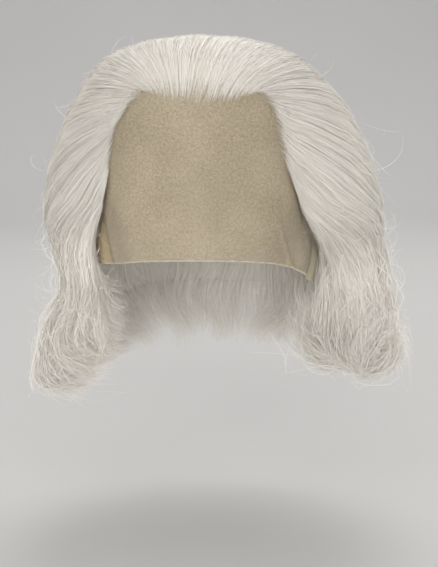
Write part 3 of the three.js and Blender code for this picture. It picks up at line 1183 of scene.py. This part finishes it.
@dataclass
class Strands:
    """Strands of hair that follow the form of the locks, in clumps with waves and curled ends."""

    form: HairForm
    finish: bpy.types.Material
    samples: int = 72
    layer_bias: float = 0.6
    start_bias: float = 0.7
    start_depth: float = 0.55
    surfacing: Ease = Ease(0.0, 1.0, 0.0, 45.0)
    tip_share: Ease = Ease(1.0, 0.86, 0.75, 1.0)
    root_steps: Ease = Ease(0.3, 1.5, 0.0, 0.22)
    tip_steps: Ease = Ease(1.0, 0.42, 0.35, 0.8)
    root_taper: Ease = Ease(0.3, 1.0, 0.0, 0.2)
    tip_taper: Ease = Ease(1.0, 0.35, 0.6, 1.0)
    width_range: Pair = (0.7, 1.25)
    roll: float = 0.35
    twist: float = 0.9
    clump_width: float = 0.004
    clumps_deep: int = 3
    clump_pull: Pair = (0.5, 1.2)
    clump_wave: float = 0.5
    clump_wave_range: Pair = (0.3, 1.4)
    clump_wave_length: float = 64.0
    clump_pitch_range: Pair = (0.7, 1.3)
    clump_wave_lying: float = 0.5
    clump_wave_rise: Ease = Ease(0.0, 1.0, 4.0, 40.0)
    outward_pitch: float = 1.3
    outward_share: float = 0.6
    frizz_spread: Pair = (1.5, 0.6)
    frizz_pitch_range: Pair = (0.7, 1.5)
    frizz_lying: float = 0.2
    frizz_rise: Ease = Ease(0.0, 1.0, 2.0, 30.0)
    curl: SidedCurve = SidedCurve(
        CURL_PLACES,
        (-0.5, -0.6, -2.2, -2.4, -0.5),
        (-0.5, -1.0, -2.8, -3.5, -3.4),
    )
    curl_length: SidedCurve = SidedCurve(
        CURL_PLACES,
        (40, 44, 44, 44, 26),
        (40, 44, 74, 84, 58),
    )
    bend_range: Pair = (0.8, 1.25)
    bend_spread: float = 0.25
    least_bend: float = 0.05
    loops: float = 0.08
    loop_range: Pair = (1.4, 2.0)
    nest: Pair = (0.12, 1.05)
    nesting: Ease = Ease(0.0, 1.0, 0.7, 1.8)
    curl_range: Pair = (0.85, 1.15)
    uneven_tips: Pair = (1.2, 8.0)
    inner_lift: SidedCurve = SidedCurve((0.0, 0.5, 1.0), (0, 30, 26), (0, 10, 10))
    curl_behind: float = 1.3
    behind_part: Ease = Ease(0.0, 1.0, 0.76, 1.0)
    swing_of_clump: float = 0.25
    swing_of_strand: float = 0.2
    root_scatter: Ease = Ease(0.07, 0.12, 0.4, 0.6)
    scatter_bias: float = 1.6
    root_sink: float = 3.0
    sink_ends: Ease = Ease(1.0, 0.0, 0.82, 0.95)
    sink_fade: Ease = Ease(1.0, 0.0, 0.0, 24.0)
    root_toe: float = 6.5
    toe_bias: float = 0.8
    toe_part: Ease = Ease(0.0, 1.0, 0.32, 0.5)
    toe_fade: Ease = Ease(1.0, 0.0, 0.0, 26.0)
    stands_proud: float = 10.0

    def stations(self, start: Array, segments: int) -> Array:
        """Return where a strand's points lie, close together at the root and the tip.

        Args:
            start: Share of the hair's length that each strand starts at.
            segments: Number of segments.

        Returns:
            Rising shares of the length, as (strand, station).
        """
        place = np.linspace(0.0, 1.0, segments)
        weight = self.root_steps(place) * self.tip_steps(place)
        share = np.concatenate([[0.0], np.cumsum(weight)]) / weight.sum()
        return lerp(start[:, None], 1.0, share[None])

    def hung_length(self, curl: Array, bend: Array) -> Array:
        """Return how far down a curled end of some length hangs."""
        angle = np.maximum(np.abs(bend), self.least_bend)
        return curl * np.sin(np.minimum(angle, math.pi / 2)) / angle

    def leaders(self, u: Array, chance: np.random.Generator) -> Array:
        """Gather the strands in clumps.

        Args:
            u: Place along the hairline of each strand.
            chance: Source of small differences.

        Returns:
            The number of the strand that leads each strand's clump.
        """
        depth = np.floor(chance.random(len(u)) * self.clumps_deep)
        clump = np.floor(u / self.clump_width) * self.clumps_deep + depth
        _, first, member = np.unique(clump, return_index=True, return_inverse=True)
        return first[member]

    def ends(
        self, u: Array, layer: Array, leader: Array, chance: np.random.Generator
    ) -> tuple[Array, Array, Array]:
        """Return how each strand ends.

        Args:
            u: Place along the hairline of each strand.
            layer: Share of the hair's thickness that each lies at.
            leader: The strand that leads each strand's clump.
            chance: Source of small differences.

        Returns:
            The angle that its end turns by, the length that turns, and the drop of its tip if uncurled.
        """
        count = len(u)
        along = np.abs(u)
        side = np.where(u < 0, -1.0, 1.0)
        typical = self.curl(along, side)
        longest = self.curl_length(along, side)
        bend = typical * chance.uniform(*self.bend_range, count)[leader]
        bend = bend + chance.normal(0.0, self.bend_spread, count)[leader]
        bend = bend + chance.normal(0.0, self.bend_spread, count)
        looped = chance.random(count) < self.loops
        bend = np.where(looped, bend * chance.uniform(*self.loop_range, count), bend)
        nest = lerp(*self.nest, layer.clip(0.0, 1.0))
        nested = lerp(1.0, nest, self.nesting(np.abs(typical)))
        curl = longest * nested * chance.uniform(*self.curl_range, count)
        hung = np.maximum(self.hung_length(longest, typical), self.hung_length(curl, bend))
        tip = self.form.tip_drop(u) - hung + curl - chance.gamma(*self.uneven_tips, count)
        tip = tip - self.inner_lift(along, side) * (1.0 - layer).clip(0.0, 1.0)
        return bend, curl, tip

    def grow(self, plan: StrandPlan, chance: np.random.Generator) -> Array:
        """Return the strands' middle lines.

        Args:
            plan: What to grow.
            chance: Source of the strands' small differences.

        Returns:
            Points as (strand, point, coordinate).
        """
        count = plan.count
        rooted = plan.growth is Growth.HAIRLINE
        u = np.sort(chance.uniform(plan.u_from, plan.u_to, count))
        along = np.abs(u)
        layer = lerp(plan.layer_from, plan.layer_to, chance.random(count) ** self.layer_bias)
        leader = self.leaders(u, chance)
        bend, curl, tip = self.ends(u, layer, leader, chance)
        ahead = self.root_scatter(along) * chance.random(count) ** self.scatter_bias if rooted else 0.0
        inner, outer = self.form.wall(u, tip, self.samples, ahead)
        start = lerp(plan.start_from, plan.start_to, chance.random(count) ** self.start_bias)
        stations = self.stations(start, plan.segments)
        inner = resample(inner, stations)
        outer = resample(outer, stations)
        out = unit(outer - inner)
        reach = lengths(inner)
        share = np.broadcast_to(layer[:, None], reach.shape)
        if not rooted:
            share = lerp(self.start_depth * share, share, self.surfacing(reach))
        lines = lerp(inner, outer, (share * self.tip_share(stations))[..., None])
        if rooted:
            sunk = self.root_sink * self.sink_ends(along)[:, None] * self.sink_fade(reach)
            lines = self.toed(lines - out * sunk[..., None], out, u, chance)
        hang = self.form.hang(lines)
        pull = plan.clump * hang * chance.uniform(*self.clump_pull, count)[:, None]
        lines = lines + (lines[leader] - lines) * pull[..., None]
        left = lengths(lines)[:, -1:] - lengths(lines)[:, 1:]
        turned = np.clip(1.0 - left / curl[:, None], 0.0, 1.0)
        lines = self.wavy(lines, out, hang, leader, plan, chance)
        swing = np.where(u < 0, -1.0, 1.0) * self.curl_behind * self.behind_part(along)
        swing = swing + chance.normal(0.0, self.swing_of_clump, count)[leader]
        swing = swing + chance.normal(0.0, self.swing_of_strand, count)
        return self.confined(self.curled(lines, out, bend, turned, swing))

    def toed(self, lines: Array, out: Array, u: Array, chance: np.random.Generator) -> Array:
        """Return lines whose roots at the temples reach forward on to the lace.

        Args:
            lines: Points as (strand, point, coordinate).
            out: Direction out of the hair at each point.
            u: Place along the hairline of each strand.
            chance: Source of small differences.

        Returns:
            The lines with their roots moved.
        """
        forward = np.cross(unit(np.gradient(lines, axis=1)), out)
        forward = forward * -np.sign(forward[..., 1:2])
        toe = self.root_toe * self.toe_part(np.abs(u)) * chance.random(len(u)) ** self.toe_bias
        return lines + forward * (toe[:, None] * self.toe_fade(lengths(lines)))[..., None]

    def wavy(
        self,
        lines: Array,
        out: Array,
        hang: Array,
        leader: Array,
        plan: StrandPlan,
        chance: np.random.Generator,
    ) -> Array:
        """Return lines with the waves of their clump and some frizz of their own.

        Args:
            lines: Points as (strand, point, coordinate).
            out: Direction out of the hair at each point.
            hang: How freely the hair hangs at each point, from 0 to 1.
            leader: The strand that leads each strand's clump.
            plan: The batch, which says how frizzy it is.
            chance: Source of small differences.

        Returns:
            The waved lines.
        """
        count = len(lines)
        across = np.cross(unit(np.gradient(lines, axis=1)), out)
        reach = lengths(lines)
        phase = chance.uniform(0.0, math.tau, (count, 2))[leader]
        pitch = self.clump_wave_length * chance.uniform(*self.clump_pitch_range, count)[leader][:, None]
        height = self.clump_wave * chance.uniform(*self.clump_wave_range, count)[leader][:, None]
        height = height * lerp(self.clump_wave_lying, 1.0, hang) * self.clump_wave_rise(reach)
        sideways = height * np.sin(math.tau * reach / pitch + phase[:, :1])
        roll = self.outward_pitch * math.tau * reach / pitch
        outward = self.outward_share * height * np.sin(roll + phase[:, 1:])
        own = chance.uniform(0.0, math.tau, (count, 2))
        frizz = plan.frizz * chance.gamma(*self.frizz_spread, (count, 1))
        frizz = frizz * lerp(self.frizz_lying, 1.0, hang) * self.frizz_rise(reach)
        pitch = plan.frizz_length * chance.uniform(*self.frizz_pitch_range, (count, 2))
        sideways = sideways + frizz * np.sin(math.tau * reach / pitch[:, :1] + own[:, :1])
        roll = math.tau * reach / pitch[:, 1:]
        outward = outward + self.outward_share * frizz * np.sin(roll + own[:, 1:])
        return lines + across * sideways[..., None] + out * outward[..., None]

    @staticmethod
    def curled(lines: Array, out: Array, bend: Array, turned: Array, swing: Array) -> Array:
        """Return lines whose ends turn out of the hair, or into it where bend is negative.

        Args:
            lines: Points as (strand, point, coordinate).
            out: Direction out of the hair at each point.
            bend: Angle that each end turns by, in radians.
            turned: Share of its angle that each end has turned by after each step.
            swing: Angle about the strand by which the turn leaves the way straight out or in.

        Returns:
            The turned lines.
        """
        steps = np.diff(lines, axis=1)
        size = np.linalg.norm(steps, axis=2, keepdims=True)
        heading = steps / np.maximum(size, TINY)
        angle = np.abs(bend)[:, None] * turned
        toward = out[:, 1:] * np.sign(bend)[:, None, None]
        toward = unit(toward - heading * (toward * heading).sum(axis=2, keepdims=True))
        aside = np.cross(heading, toward)
        toward = toward * np.cos(swing)[:, None, None] + aside * np.sin(swing)[:, None, None]
        heading = heading * np.cos(angle)[..., None] + toward * np.sin(angle)[..., None]
        return np.concatenate([lines[:, :1], lines[:, :1] + np.cumsum(heading * size, axis=1)], axis=1)

    def confined(self, lines: Array) -> Array:
        """Draw lines in softly, so that none stands far outside the solids' box.

        Args:
            lines: Points as (strand, point, coordinate).

        Returns:
            The lines drawn in.
        """
        low = np.array(cad_box[0]) / MM
        high = np.array(cad_box[1]) / MM
        over = np.maximum(lines - high, 0.0)
        under = np.maximum(low - lines, 0.0)
        proud = self.stands_proud
        held = np.clip(lines, low, high)
        return held + proud * (1.0 - np.exp(-over / proud)) - proud * (1.0 - np.exp(-under / proud))

    def build(self, plan: StrandPlan, seed: int) -> bpy.types.Object:
        """Return one batch of strands as a piece.

        Args:
            plan: What to grow.
            seed: Number that fixes the strands' small differences.

        Returns:
            The piece.
        """
        chance = np.random.default_rng(seed)
        lines = self.grow(plan, chance)
        each = (plan.count, 1)
        place = np.linspace(0.0, 1.0, lines.shape[1])
        taper = self.root_taper(place) * self.tip_taper(place)
        radius = plan.radius * chance.uniform(*self.width_range, each) * taper[None]
        roll = chance.normal(0.0, self.roll, each)
        twist = chance.normal(0.0, self.twist, each)
        facing = roll + twist * place[None]
        return MeshMaker.ribbons(plan.name, lines, facing, radius, chance.random(plan.count), self.finish)


@dataclass
class Flyaways:
    """Loose curly hairs that stand off the outline."""

    form: HairForm
    finish: bpy.types.Material
    count: int = 1700
    samples: int = 72
    segments: int = 18
    radius: float = 0.105
    thin_end: float = 0.5
    twist: float = 2.0
    tones: Pair = (0.4, 1.0)
    first_sample: int = 4
    sample_span: int = 66
    low_bias: Pair = (1.8, 1.0)
    lift: Pair = (0.1, 0.9)
    stray: float = 0.5
    turn: Pair = (3.0, 0.028)
    turn_drift: float = 0.12
    length: Pair = (4.0, 9.0)
    length_limits: Pair = (14.0, 70.0)
    root_depth: float = 2.0
    root_back: float = 6.0
    farthest: float = 9.0
    crown_drop: float = 60.0
    crown_share: float = 0.5
    neck_half_width: float = 74.0
    neck_half_depth: float = 88.0
    neck_drop: float = 150.0

    def kept(self, lines: Array, u: Array, at: Array, chance: np.random.Generator) -> Array:
        """Return which hairs stay: near the hair, few on the crown, and none across the neck's hollow.

        Args:
            lines: Points as (hair, point, coordinate).
            u: Place along the hairline of the lock that each hair leaves.
            at: Where each hair leaves its lock.
            chance: Source of the choice on the crown.

        Returns:
            True for each hair that stays.
        """
        low = np.array(cad_box[0]) / MM - self.farthest
        high = np.array(cad_box[1]) / MM + self.farthest
        stays = ((lines > low) & (lines < high)).all(axis=(1, 2))
        stays &= lines[..., 2].min(axis=1) > -self.form.tip_drop(u) - self.farthest
        stays &= (at[:, 2] < -self.crown_drop) | (chance.random(len(u)) < self.crown_share)
        across = lines[..., 0] / self.neck_half_width
        ahead = lines[..., 1] / self.neck_half_depth
        inside = (np.hypot(across, ahead) < 1.0) & (lines[..., 2] < -self.neck_drop)
        return stays & ~inside.any(axis=1)

    def build(self, seed: int) -> bpy.types.Object:
        """Return the loose hairs as one piece.

        Args:
            seed: Number that fixes the hairs' small differences.

        Returns:
            The piece.
        """
        chance = np.random.default_rng(seed)
        count = self.count
        each = (count, 1)
        u = chance.uniform(-1.0, 1.0, count)
        inner, outer = self.form.wall(u, self.form.tip_drop(u), self.samples)
        pick = (chance.beta(*self.low_bias, count) * self.sample_span + self.first_sample).astype(int)
        rows = np.arange(count)
        at = outer[rows, pick]
        out = unit(outer - inner)[rows, pick]
        down = unit(outer[rows, pick + 1] - outer[rows, pick - 1])
        aside = np.cross(down, out)
        lift = chance.uniform(*self.lift, each)
        heading = unit(down + out * lift + aside * chance.normal(0.0, self.stray, each))
        axis = unit(chance.normal(0.0, 1.0, (count, 3)) + aside * chance.choice([-1.0, 1.0], each))
        turn = chance.gamma(*self.turn, each)
        step = chance.gamma(*self.length, each).clip(*self.length_limits) / self.segments
        points = [at - out * self.root_depth - heading * self.root_back]
        for _ in range(self.segments):
            points.append(points[-1] + heading * step)
            heading = unit(heading + np.cross(axis, heading) * turn * step)
            axis = unit(axis + chance.normal(0.0, self.turn_drift, (count, 3)))
        lines = np.stack(points, axis=1)
        lines = lines[self.kept(lines, u, at, chance)]
        place = np.linspace(0.0, 1.0, lines.shape[1])
        radius = np.broadcast_to(self.radius * lerp(1.0, self.thin_end, place), lines.shape[:2])
        facing = chance.uniform(0.0, math.pi, (len(lines), 1)) + self.twist * place[None]
        tone = chance.uniform(*self.tones, len(lines))
        return MeshMaker.ribbons("flyaway_hairs", lines, facing, radius, tone, self.finish)


@dataclass(frozen=True)
class Fold:
    """A soft ridge in the lace that runs from one place on the sheet to another."""

    azimuth: float
    drop: float
    to_azimuth: float
    to_drop: float
    half_width: float
    height: float


@dataclass
class Foundation:
    """The net cap and the lace front, and the seam that they share."""

    head: HeadForm
    lace_finish: bpy.types.Material
    cap_finish: bpy.types.Material
    cap_wall: float = 0.6
    cap_off: float = 0.15
    cap_hem: Ease = Ease(0.0, 0.2, 0.96, 1.0)
    hem_inside: float = 0.1
    lace_wall: float = 0.4
    lace_off: float = 0.3
    seam_gap: float = 0.5
    lace_side: float = 81.0
    columns: int = 162
    lace_rows: int = 46
    cap_rows: int = 23
    cap_edge: Curve = Curve(
        (0, 27, 45, 54, 63, 72, 81, 90, 99, 108, 126, 153, 180),
        (13, 11, 13, 22, 42, 76, 118, 113, 104, 106, 136, 158, 162),
    )
    lace_edge: Curve = Curve((-81, -56, -28, 0, 30, 56, 81), (148, 143, 137, 135, 138, 146, 163))
    spread_reach: Pair = (10.0, 15.0)
    spread_side: Ease = Ease(0.0, 1.0, 48.0, 81.0)
    spread_down: Ease = Ease(0.0, 1.0, 98.0, 150.0)
    folds: tuple[Fold, ...] = (
        Fold(36, 104, 59, 153, 1.3, 3.4),
        Fold(74, 116, 73, 153, 3.4, -4.0),
        Fold(-66, 104, -61, 150, 3.4, -3.6),
    )

    def stand_off(self, degrees: Array, drop: Array) -> Array:
        """Return how far the lace stands off the head.

        Args:
            degrees: Angle from the middle of the face.
            drop: Distance below the crown.

        Returns:
            The distance off the head at each place.
        """
        spread = self.spread_side(np.abs(degrees)) * self.spread_down(drop)
        total = np.where(degrees < 0, *self.spread_reach) * spread
        for fold in self.folds:
            along = np.clip((drop - fold.drop) / (fold.to_drop - fold.drop), 0.0, 1.0)
            away = (degrees - lerp(fold.azimuth, fold.to_azimuth, along)) / fold.half_width
            total = total + fold.height * along * np.exp(-away * away)
        return total

    @staticmethod
    def flat_map(grid: Array) -> Array:
        """Lay a grid flat.

        Args:
            grid: Points as (row, column, coordinate).

        Returns:
            Millimetres across from the middle column and up from the lower edge.
        """
        across = np.swapaxes(lengths(grid), 0, 1)
        across = np.swapaxes(across - across[across.shape[0] // 2], 0, 1)
        down = np.swapaxes(lengths(np.swapaxes(grid, 0, 1)), 0, 1)
        return np.stack([across, down[-1:] - down], axis=-1)

    def lace(self) -> bpy.types.Object:
        """Build the lace front.

        Returns:
            The piece.
        """
        degrees = np.linspace(-self.lace_side, self.lace_side, self.columns)[None]
        share = np.linspace(0.0, 1.0, self.lace_rows)[:, None]
        seam = self.head.level(self.cap_edge(np.abs(degrees)) + self.seam_gap)
        foot = self.head.level(self.lace_edge(degrees))
        drop = self.head.drop(lerp(seam, foot, share))
        azimuth = np.broadcast_to(np.radians(degrees), drop.shape)
        off = self.stand_off(degrees, drop) + self.lace_off
        inner = self.head.point(azimuth, drop, off)
        outer = self.head.point(azimuth, drop, off + self.lace_wall)
        return MeshMaker.wall("lace_sheet", inner, outer, self.flat_map(outer), self.lace_finish)

    def cap(self) -> bpy.types.Object:
        """Build the net cap.

        Returns:
            The piece.
        """
        degrees = (np.arange(self.columns) * 360.0 / self.columns)[None]
        share = np.linspace(0.0, 1.0, self.cap_rows)[:, None]
        edge = self.head.level(self.cap_edge(np.where(degrees > 180, 360 - degrees, degrees)))
        drop = self.head.drop(edge * share)
        azimuth = np.broadcast_to(np.radians(degrees), drop.shape)
        hem = self.cap_hem(share)
        inner = self.head.point(azimuth, drop, self.cap_off - self.hem_inside * hem)
        outer = self.head.point(azimuth, drop, self.cap_off + self.cap_wall + hem)
        return MeshMaker.wall("cap_net", inner, outer, self.flat_map(outer), self.cap_finish, ring=True)


@dataclass(frozen=True)
class Lamp:
    """A soft square light that faces the wig: place and width in metres, power in watts."""

    name: str
    place: Triple
    width: float
    power: float
    colour: Colour


@dataclass
class Studio:
    """Floor, soft lights and camera. Lights are placed in metres, all else in millimetres."""

    floor_height: float = -347.0
    floor_reach: float = 5000.0
    sweep_start: float = 1500.0
    sweep_radius: float = 900.0
    sweep_rows: int = 13
    lamps: tuple[Lamp, ...] = (
        Lamp("key", (-0.2, -1.8, 0.6), 1.8, 28.0, (1.0, 0.98, 0.95)),
        Lamp("fill", (0.4, -1.6, -0.2), 1.5, 4.5, (0.99, 0.985, 1.0)),
        Lamp("rim", (0.2, 1.0, 1.3), 1.2, 15.0, (1.0, 0.99, 0.97)),
    )
    lamp_aim: Triple = (0.0, 0.0, -0.11)
    surroundings: Colour = (0.80, 0.80, 0.80)
    surroundings_strength: float = 0.72
    camera_place: Triple = (10.7, -1000.0, 27.0)
    camera_pitch: float = 11.0
    lens: float = 88.7

    def floor(self) -> bpy.types.Object:
        """Build the floor, a wide sheet that curves up behind into a backdrop.

        Returns:
            The sheet.
        """
        turn = np.linspace(0.0, math.pi / 2, self.sweep_rows)
        back = self.sweep_start + self.sweep_radius * np.sin(turn)
        rise = self.sweep_radius * (1.0 - np.cos(turn))
        depth = np.concatenate([[-self.floor_reach], back, [back[-1]]])
        height = np.concatenate([[0.0], rise, [self.floor_reach]]) + self.floor_height
        sides = [np.full_like(depth, side) for side in (-self.floor_reach, self.floor_reach)]
        points = np.concatenate([np.stack([side, depth, height], axis=-1) for side in sides])
        near = np.arange(len(depth) - 1)
        far = near + len(depth)
        faces = np.stack([near, far, far + 1, near + 1], axis=-1)
        return MeshMaker.make("studio_floor", points, faces, {}, FloorFinish().material("studio_floor"))

    def light(self, lamp: Lamp) -> None:
        """Add a light that faces the wig.

        Args:
            lamp: The light's place, width, power and colour.
        """
        light = bpy.data.lights.new(lamp.name, "AREA")
        light.size = lamp.width
        light.energy = lamp.power
        light.color = lamp.colour
        thing = bpy.data.objects.new(lamp.name, light)
        thing.location = lamp.place
        aim = np.array(self.lamp_aim) - np.array(lamp.place)
        yaw = math.atan2(aim[1], aim[0]) - math.pi / 2
        tilt = math.atan2(math.hypot(aim[0], aim[1]), -aim[2])
        thing.rotation_euler = (tilt, 0.0, yaw)
        bpy.context.scene.collection.objects.link(thing)

    def lights(self) -> None:
        """Add the lights and the pale surroundings."""
        for lamp in self.lamps:
            self.light(lamp)
        world = bpy.data.worlds.new("surroundings")
        world.use_nodes = True
        background = world.node_tree.nodes["Background"].inputs
        background["Color"].default_value = (*self.surroundings, 1.0)
        background["Strength"].default_value = self.surroundings_strength
        bpy.context.scene.world = world
        bpy.context.scene.view_settings.view_transform = "Standard"

    def camera(self) -> None:
        """Add the camera at the photograph's angle."""
        lens = bpy.data.cameras.new("camera")
        lens.lens = self.lens
        thing = bpy.data.objects.new("camera", lens)
        thing.location = tuple(value * MM for value in self.camera_place)
        thing.rotation_euler = (math.radians(90.0 - self.camera_pitch), 0.0, 0.0)
        bpy.context.scene.collection.objects.link(thing)
        bpy.context.scene.camera = thing


LACE_NET = NetFinish(
    thread=(0.635, 0.545, 0.405),
    shade=(0.35, 0.29, 0.195),
    hem=(0.68, 0.61, 0.48),
    cell=0.7,
    cover=0.32,
    see_through=True,
)
CAP_NET = NetFinish(
    thread=(0.66, 0.60, 0.46),
    shade=(0.56, 0.51, 0.39),
    hem=(0.66, 0.60, 0.46),
    cell=1.4,
    cover=0.4,
    see_through=False,
)

HAIRLINE = Growth.HAIRLINE
WITHIN = Growth.WITHIN

# Columns: name, growth, u from and to, count, segments, start from and to, layer from and to, radius,
# and frizz, frizz length and clump where they differ from the usual.
STRAND_PLANS = (
    StrandPlan("front_root_strands", HAIRLINE, -0.52, 0.52, 4100, 22, 0.0, 0.05, 0.74, 1.02, 0.1),
    StrandPlan("right_root_strands", HAIRLINE, -0.9, -0.5, 1500, 24, 0.0, 0.05, 0.74, 1.02, 0.1),
    StrandPlan("left_root_strands", HAIRLINE, 0.5, 0.9, 1500, 24, 0.0, 0.05, 0.74, 1.02, 0.1),
    StrandPlan("right_side_strands", WITHIN, -1.0, -0.5, 2400, 19, 0.05, 0.5, 0.87, 1.0, 0.1),
    StrandPlan("left_side_strands", WITHIN, 0.5, 1.0, 2400, 19, 0.05, 0.5, 0.87, 1.0, 0.1),
    StrandPlan("right_edge_strands", HAIRLINE, -1.0, -0.88, 800, 22, 0.0, 0.3, -0.1, 1.0, 0.1),
    StrandPlan("left_edge_strands", HAIRLINE, 0.88, 1.0, 800, 22, 0.0, 0.3, -0.5, 1.0, 0.1),
    StrandPlan("back_right_strands", WITHIN, -0.52, 0.0, 1650, 20, 0.05, 0.55, 0.87, 1.0, 0.11),
    StrandPlan("back_left_strands", WITHIN, 0.0, 0.52, 1650, 20, 0.05, 0.55, 0.87, 1.0, 0.11),
    StrandPlan("inner_strands", WITHIN, -1.0, 1.0, 1200, 12, 0.5, 0.65, 0.0, 0.12),
    StrandPlan("nape_strands", WITHIN, -0.5, 0.5, 2300, 10, 0.58, 0.72, 0.1, 1.0, 0.12),
    StrandPlan("halo_strands", WITHIN, -1.0, 1.0, 1300, 27, 0.2, 0.5, 0.95, 1.05, 0.13, 4.6, 46.0, 0.0),
)


def show(piece: bpy.types.Object, stands_for: str | None = None) -> bpy.types.Object:
    """Fix a piece to the part and report it.

    Args:
        piece: The piece.
        stands_for: The solid that it replaces, if any.

    Returns:
        The piece.
    """
    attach(piece, "root")
    if stands_for:
        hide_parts(stands_for)
    faces = sum(len(polygon.vertices) - 2 for polygon in piece.data.polygons)
    LOG.info("%s: %d triangles", piece.name, faces)
    return piece


def main() -> None:
    """Build the wig's pieces in order, then the studio around them."""
    logging.basicConfig(level=logging.INFO, format="%(name)s %(message)s")
    form = HairForm()
    foundation = Foundation(form.head, LACE_NET.material("lace_net"), CAP_NET.material("cap_net"))
    show(foundation.cap(), "cap")
    sheet = show(foundation.lace(), "lace_front")
    mass = MassFinish().material("hair_mass")
    for section in SECTIONS:
        show(HairMass(form, section, mass).build(), section.node)
    white = StrandFinish().material("white_hair")
    strands = Strands(form, white)
    for number, plan in enumerate(STRAND_PLANS):
        show(strands.build(plan, SEED + number))
    show(Flyaways(form, white).build(SEED + len(STRAND_PLANS)))
    studio = Studio()
    studio.floor()
    studio.lights()
    studio.camera()


if __name__ == "__main__":
    main()
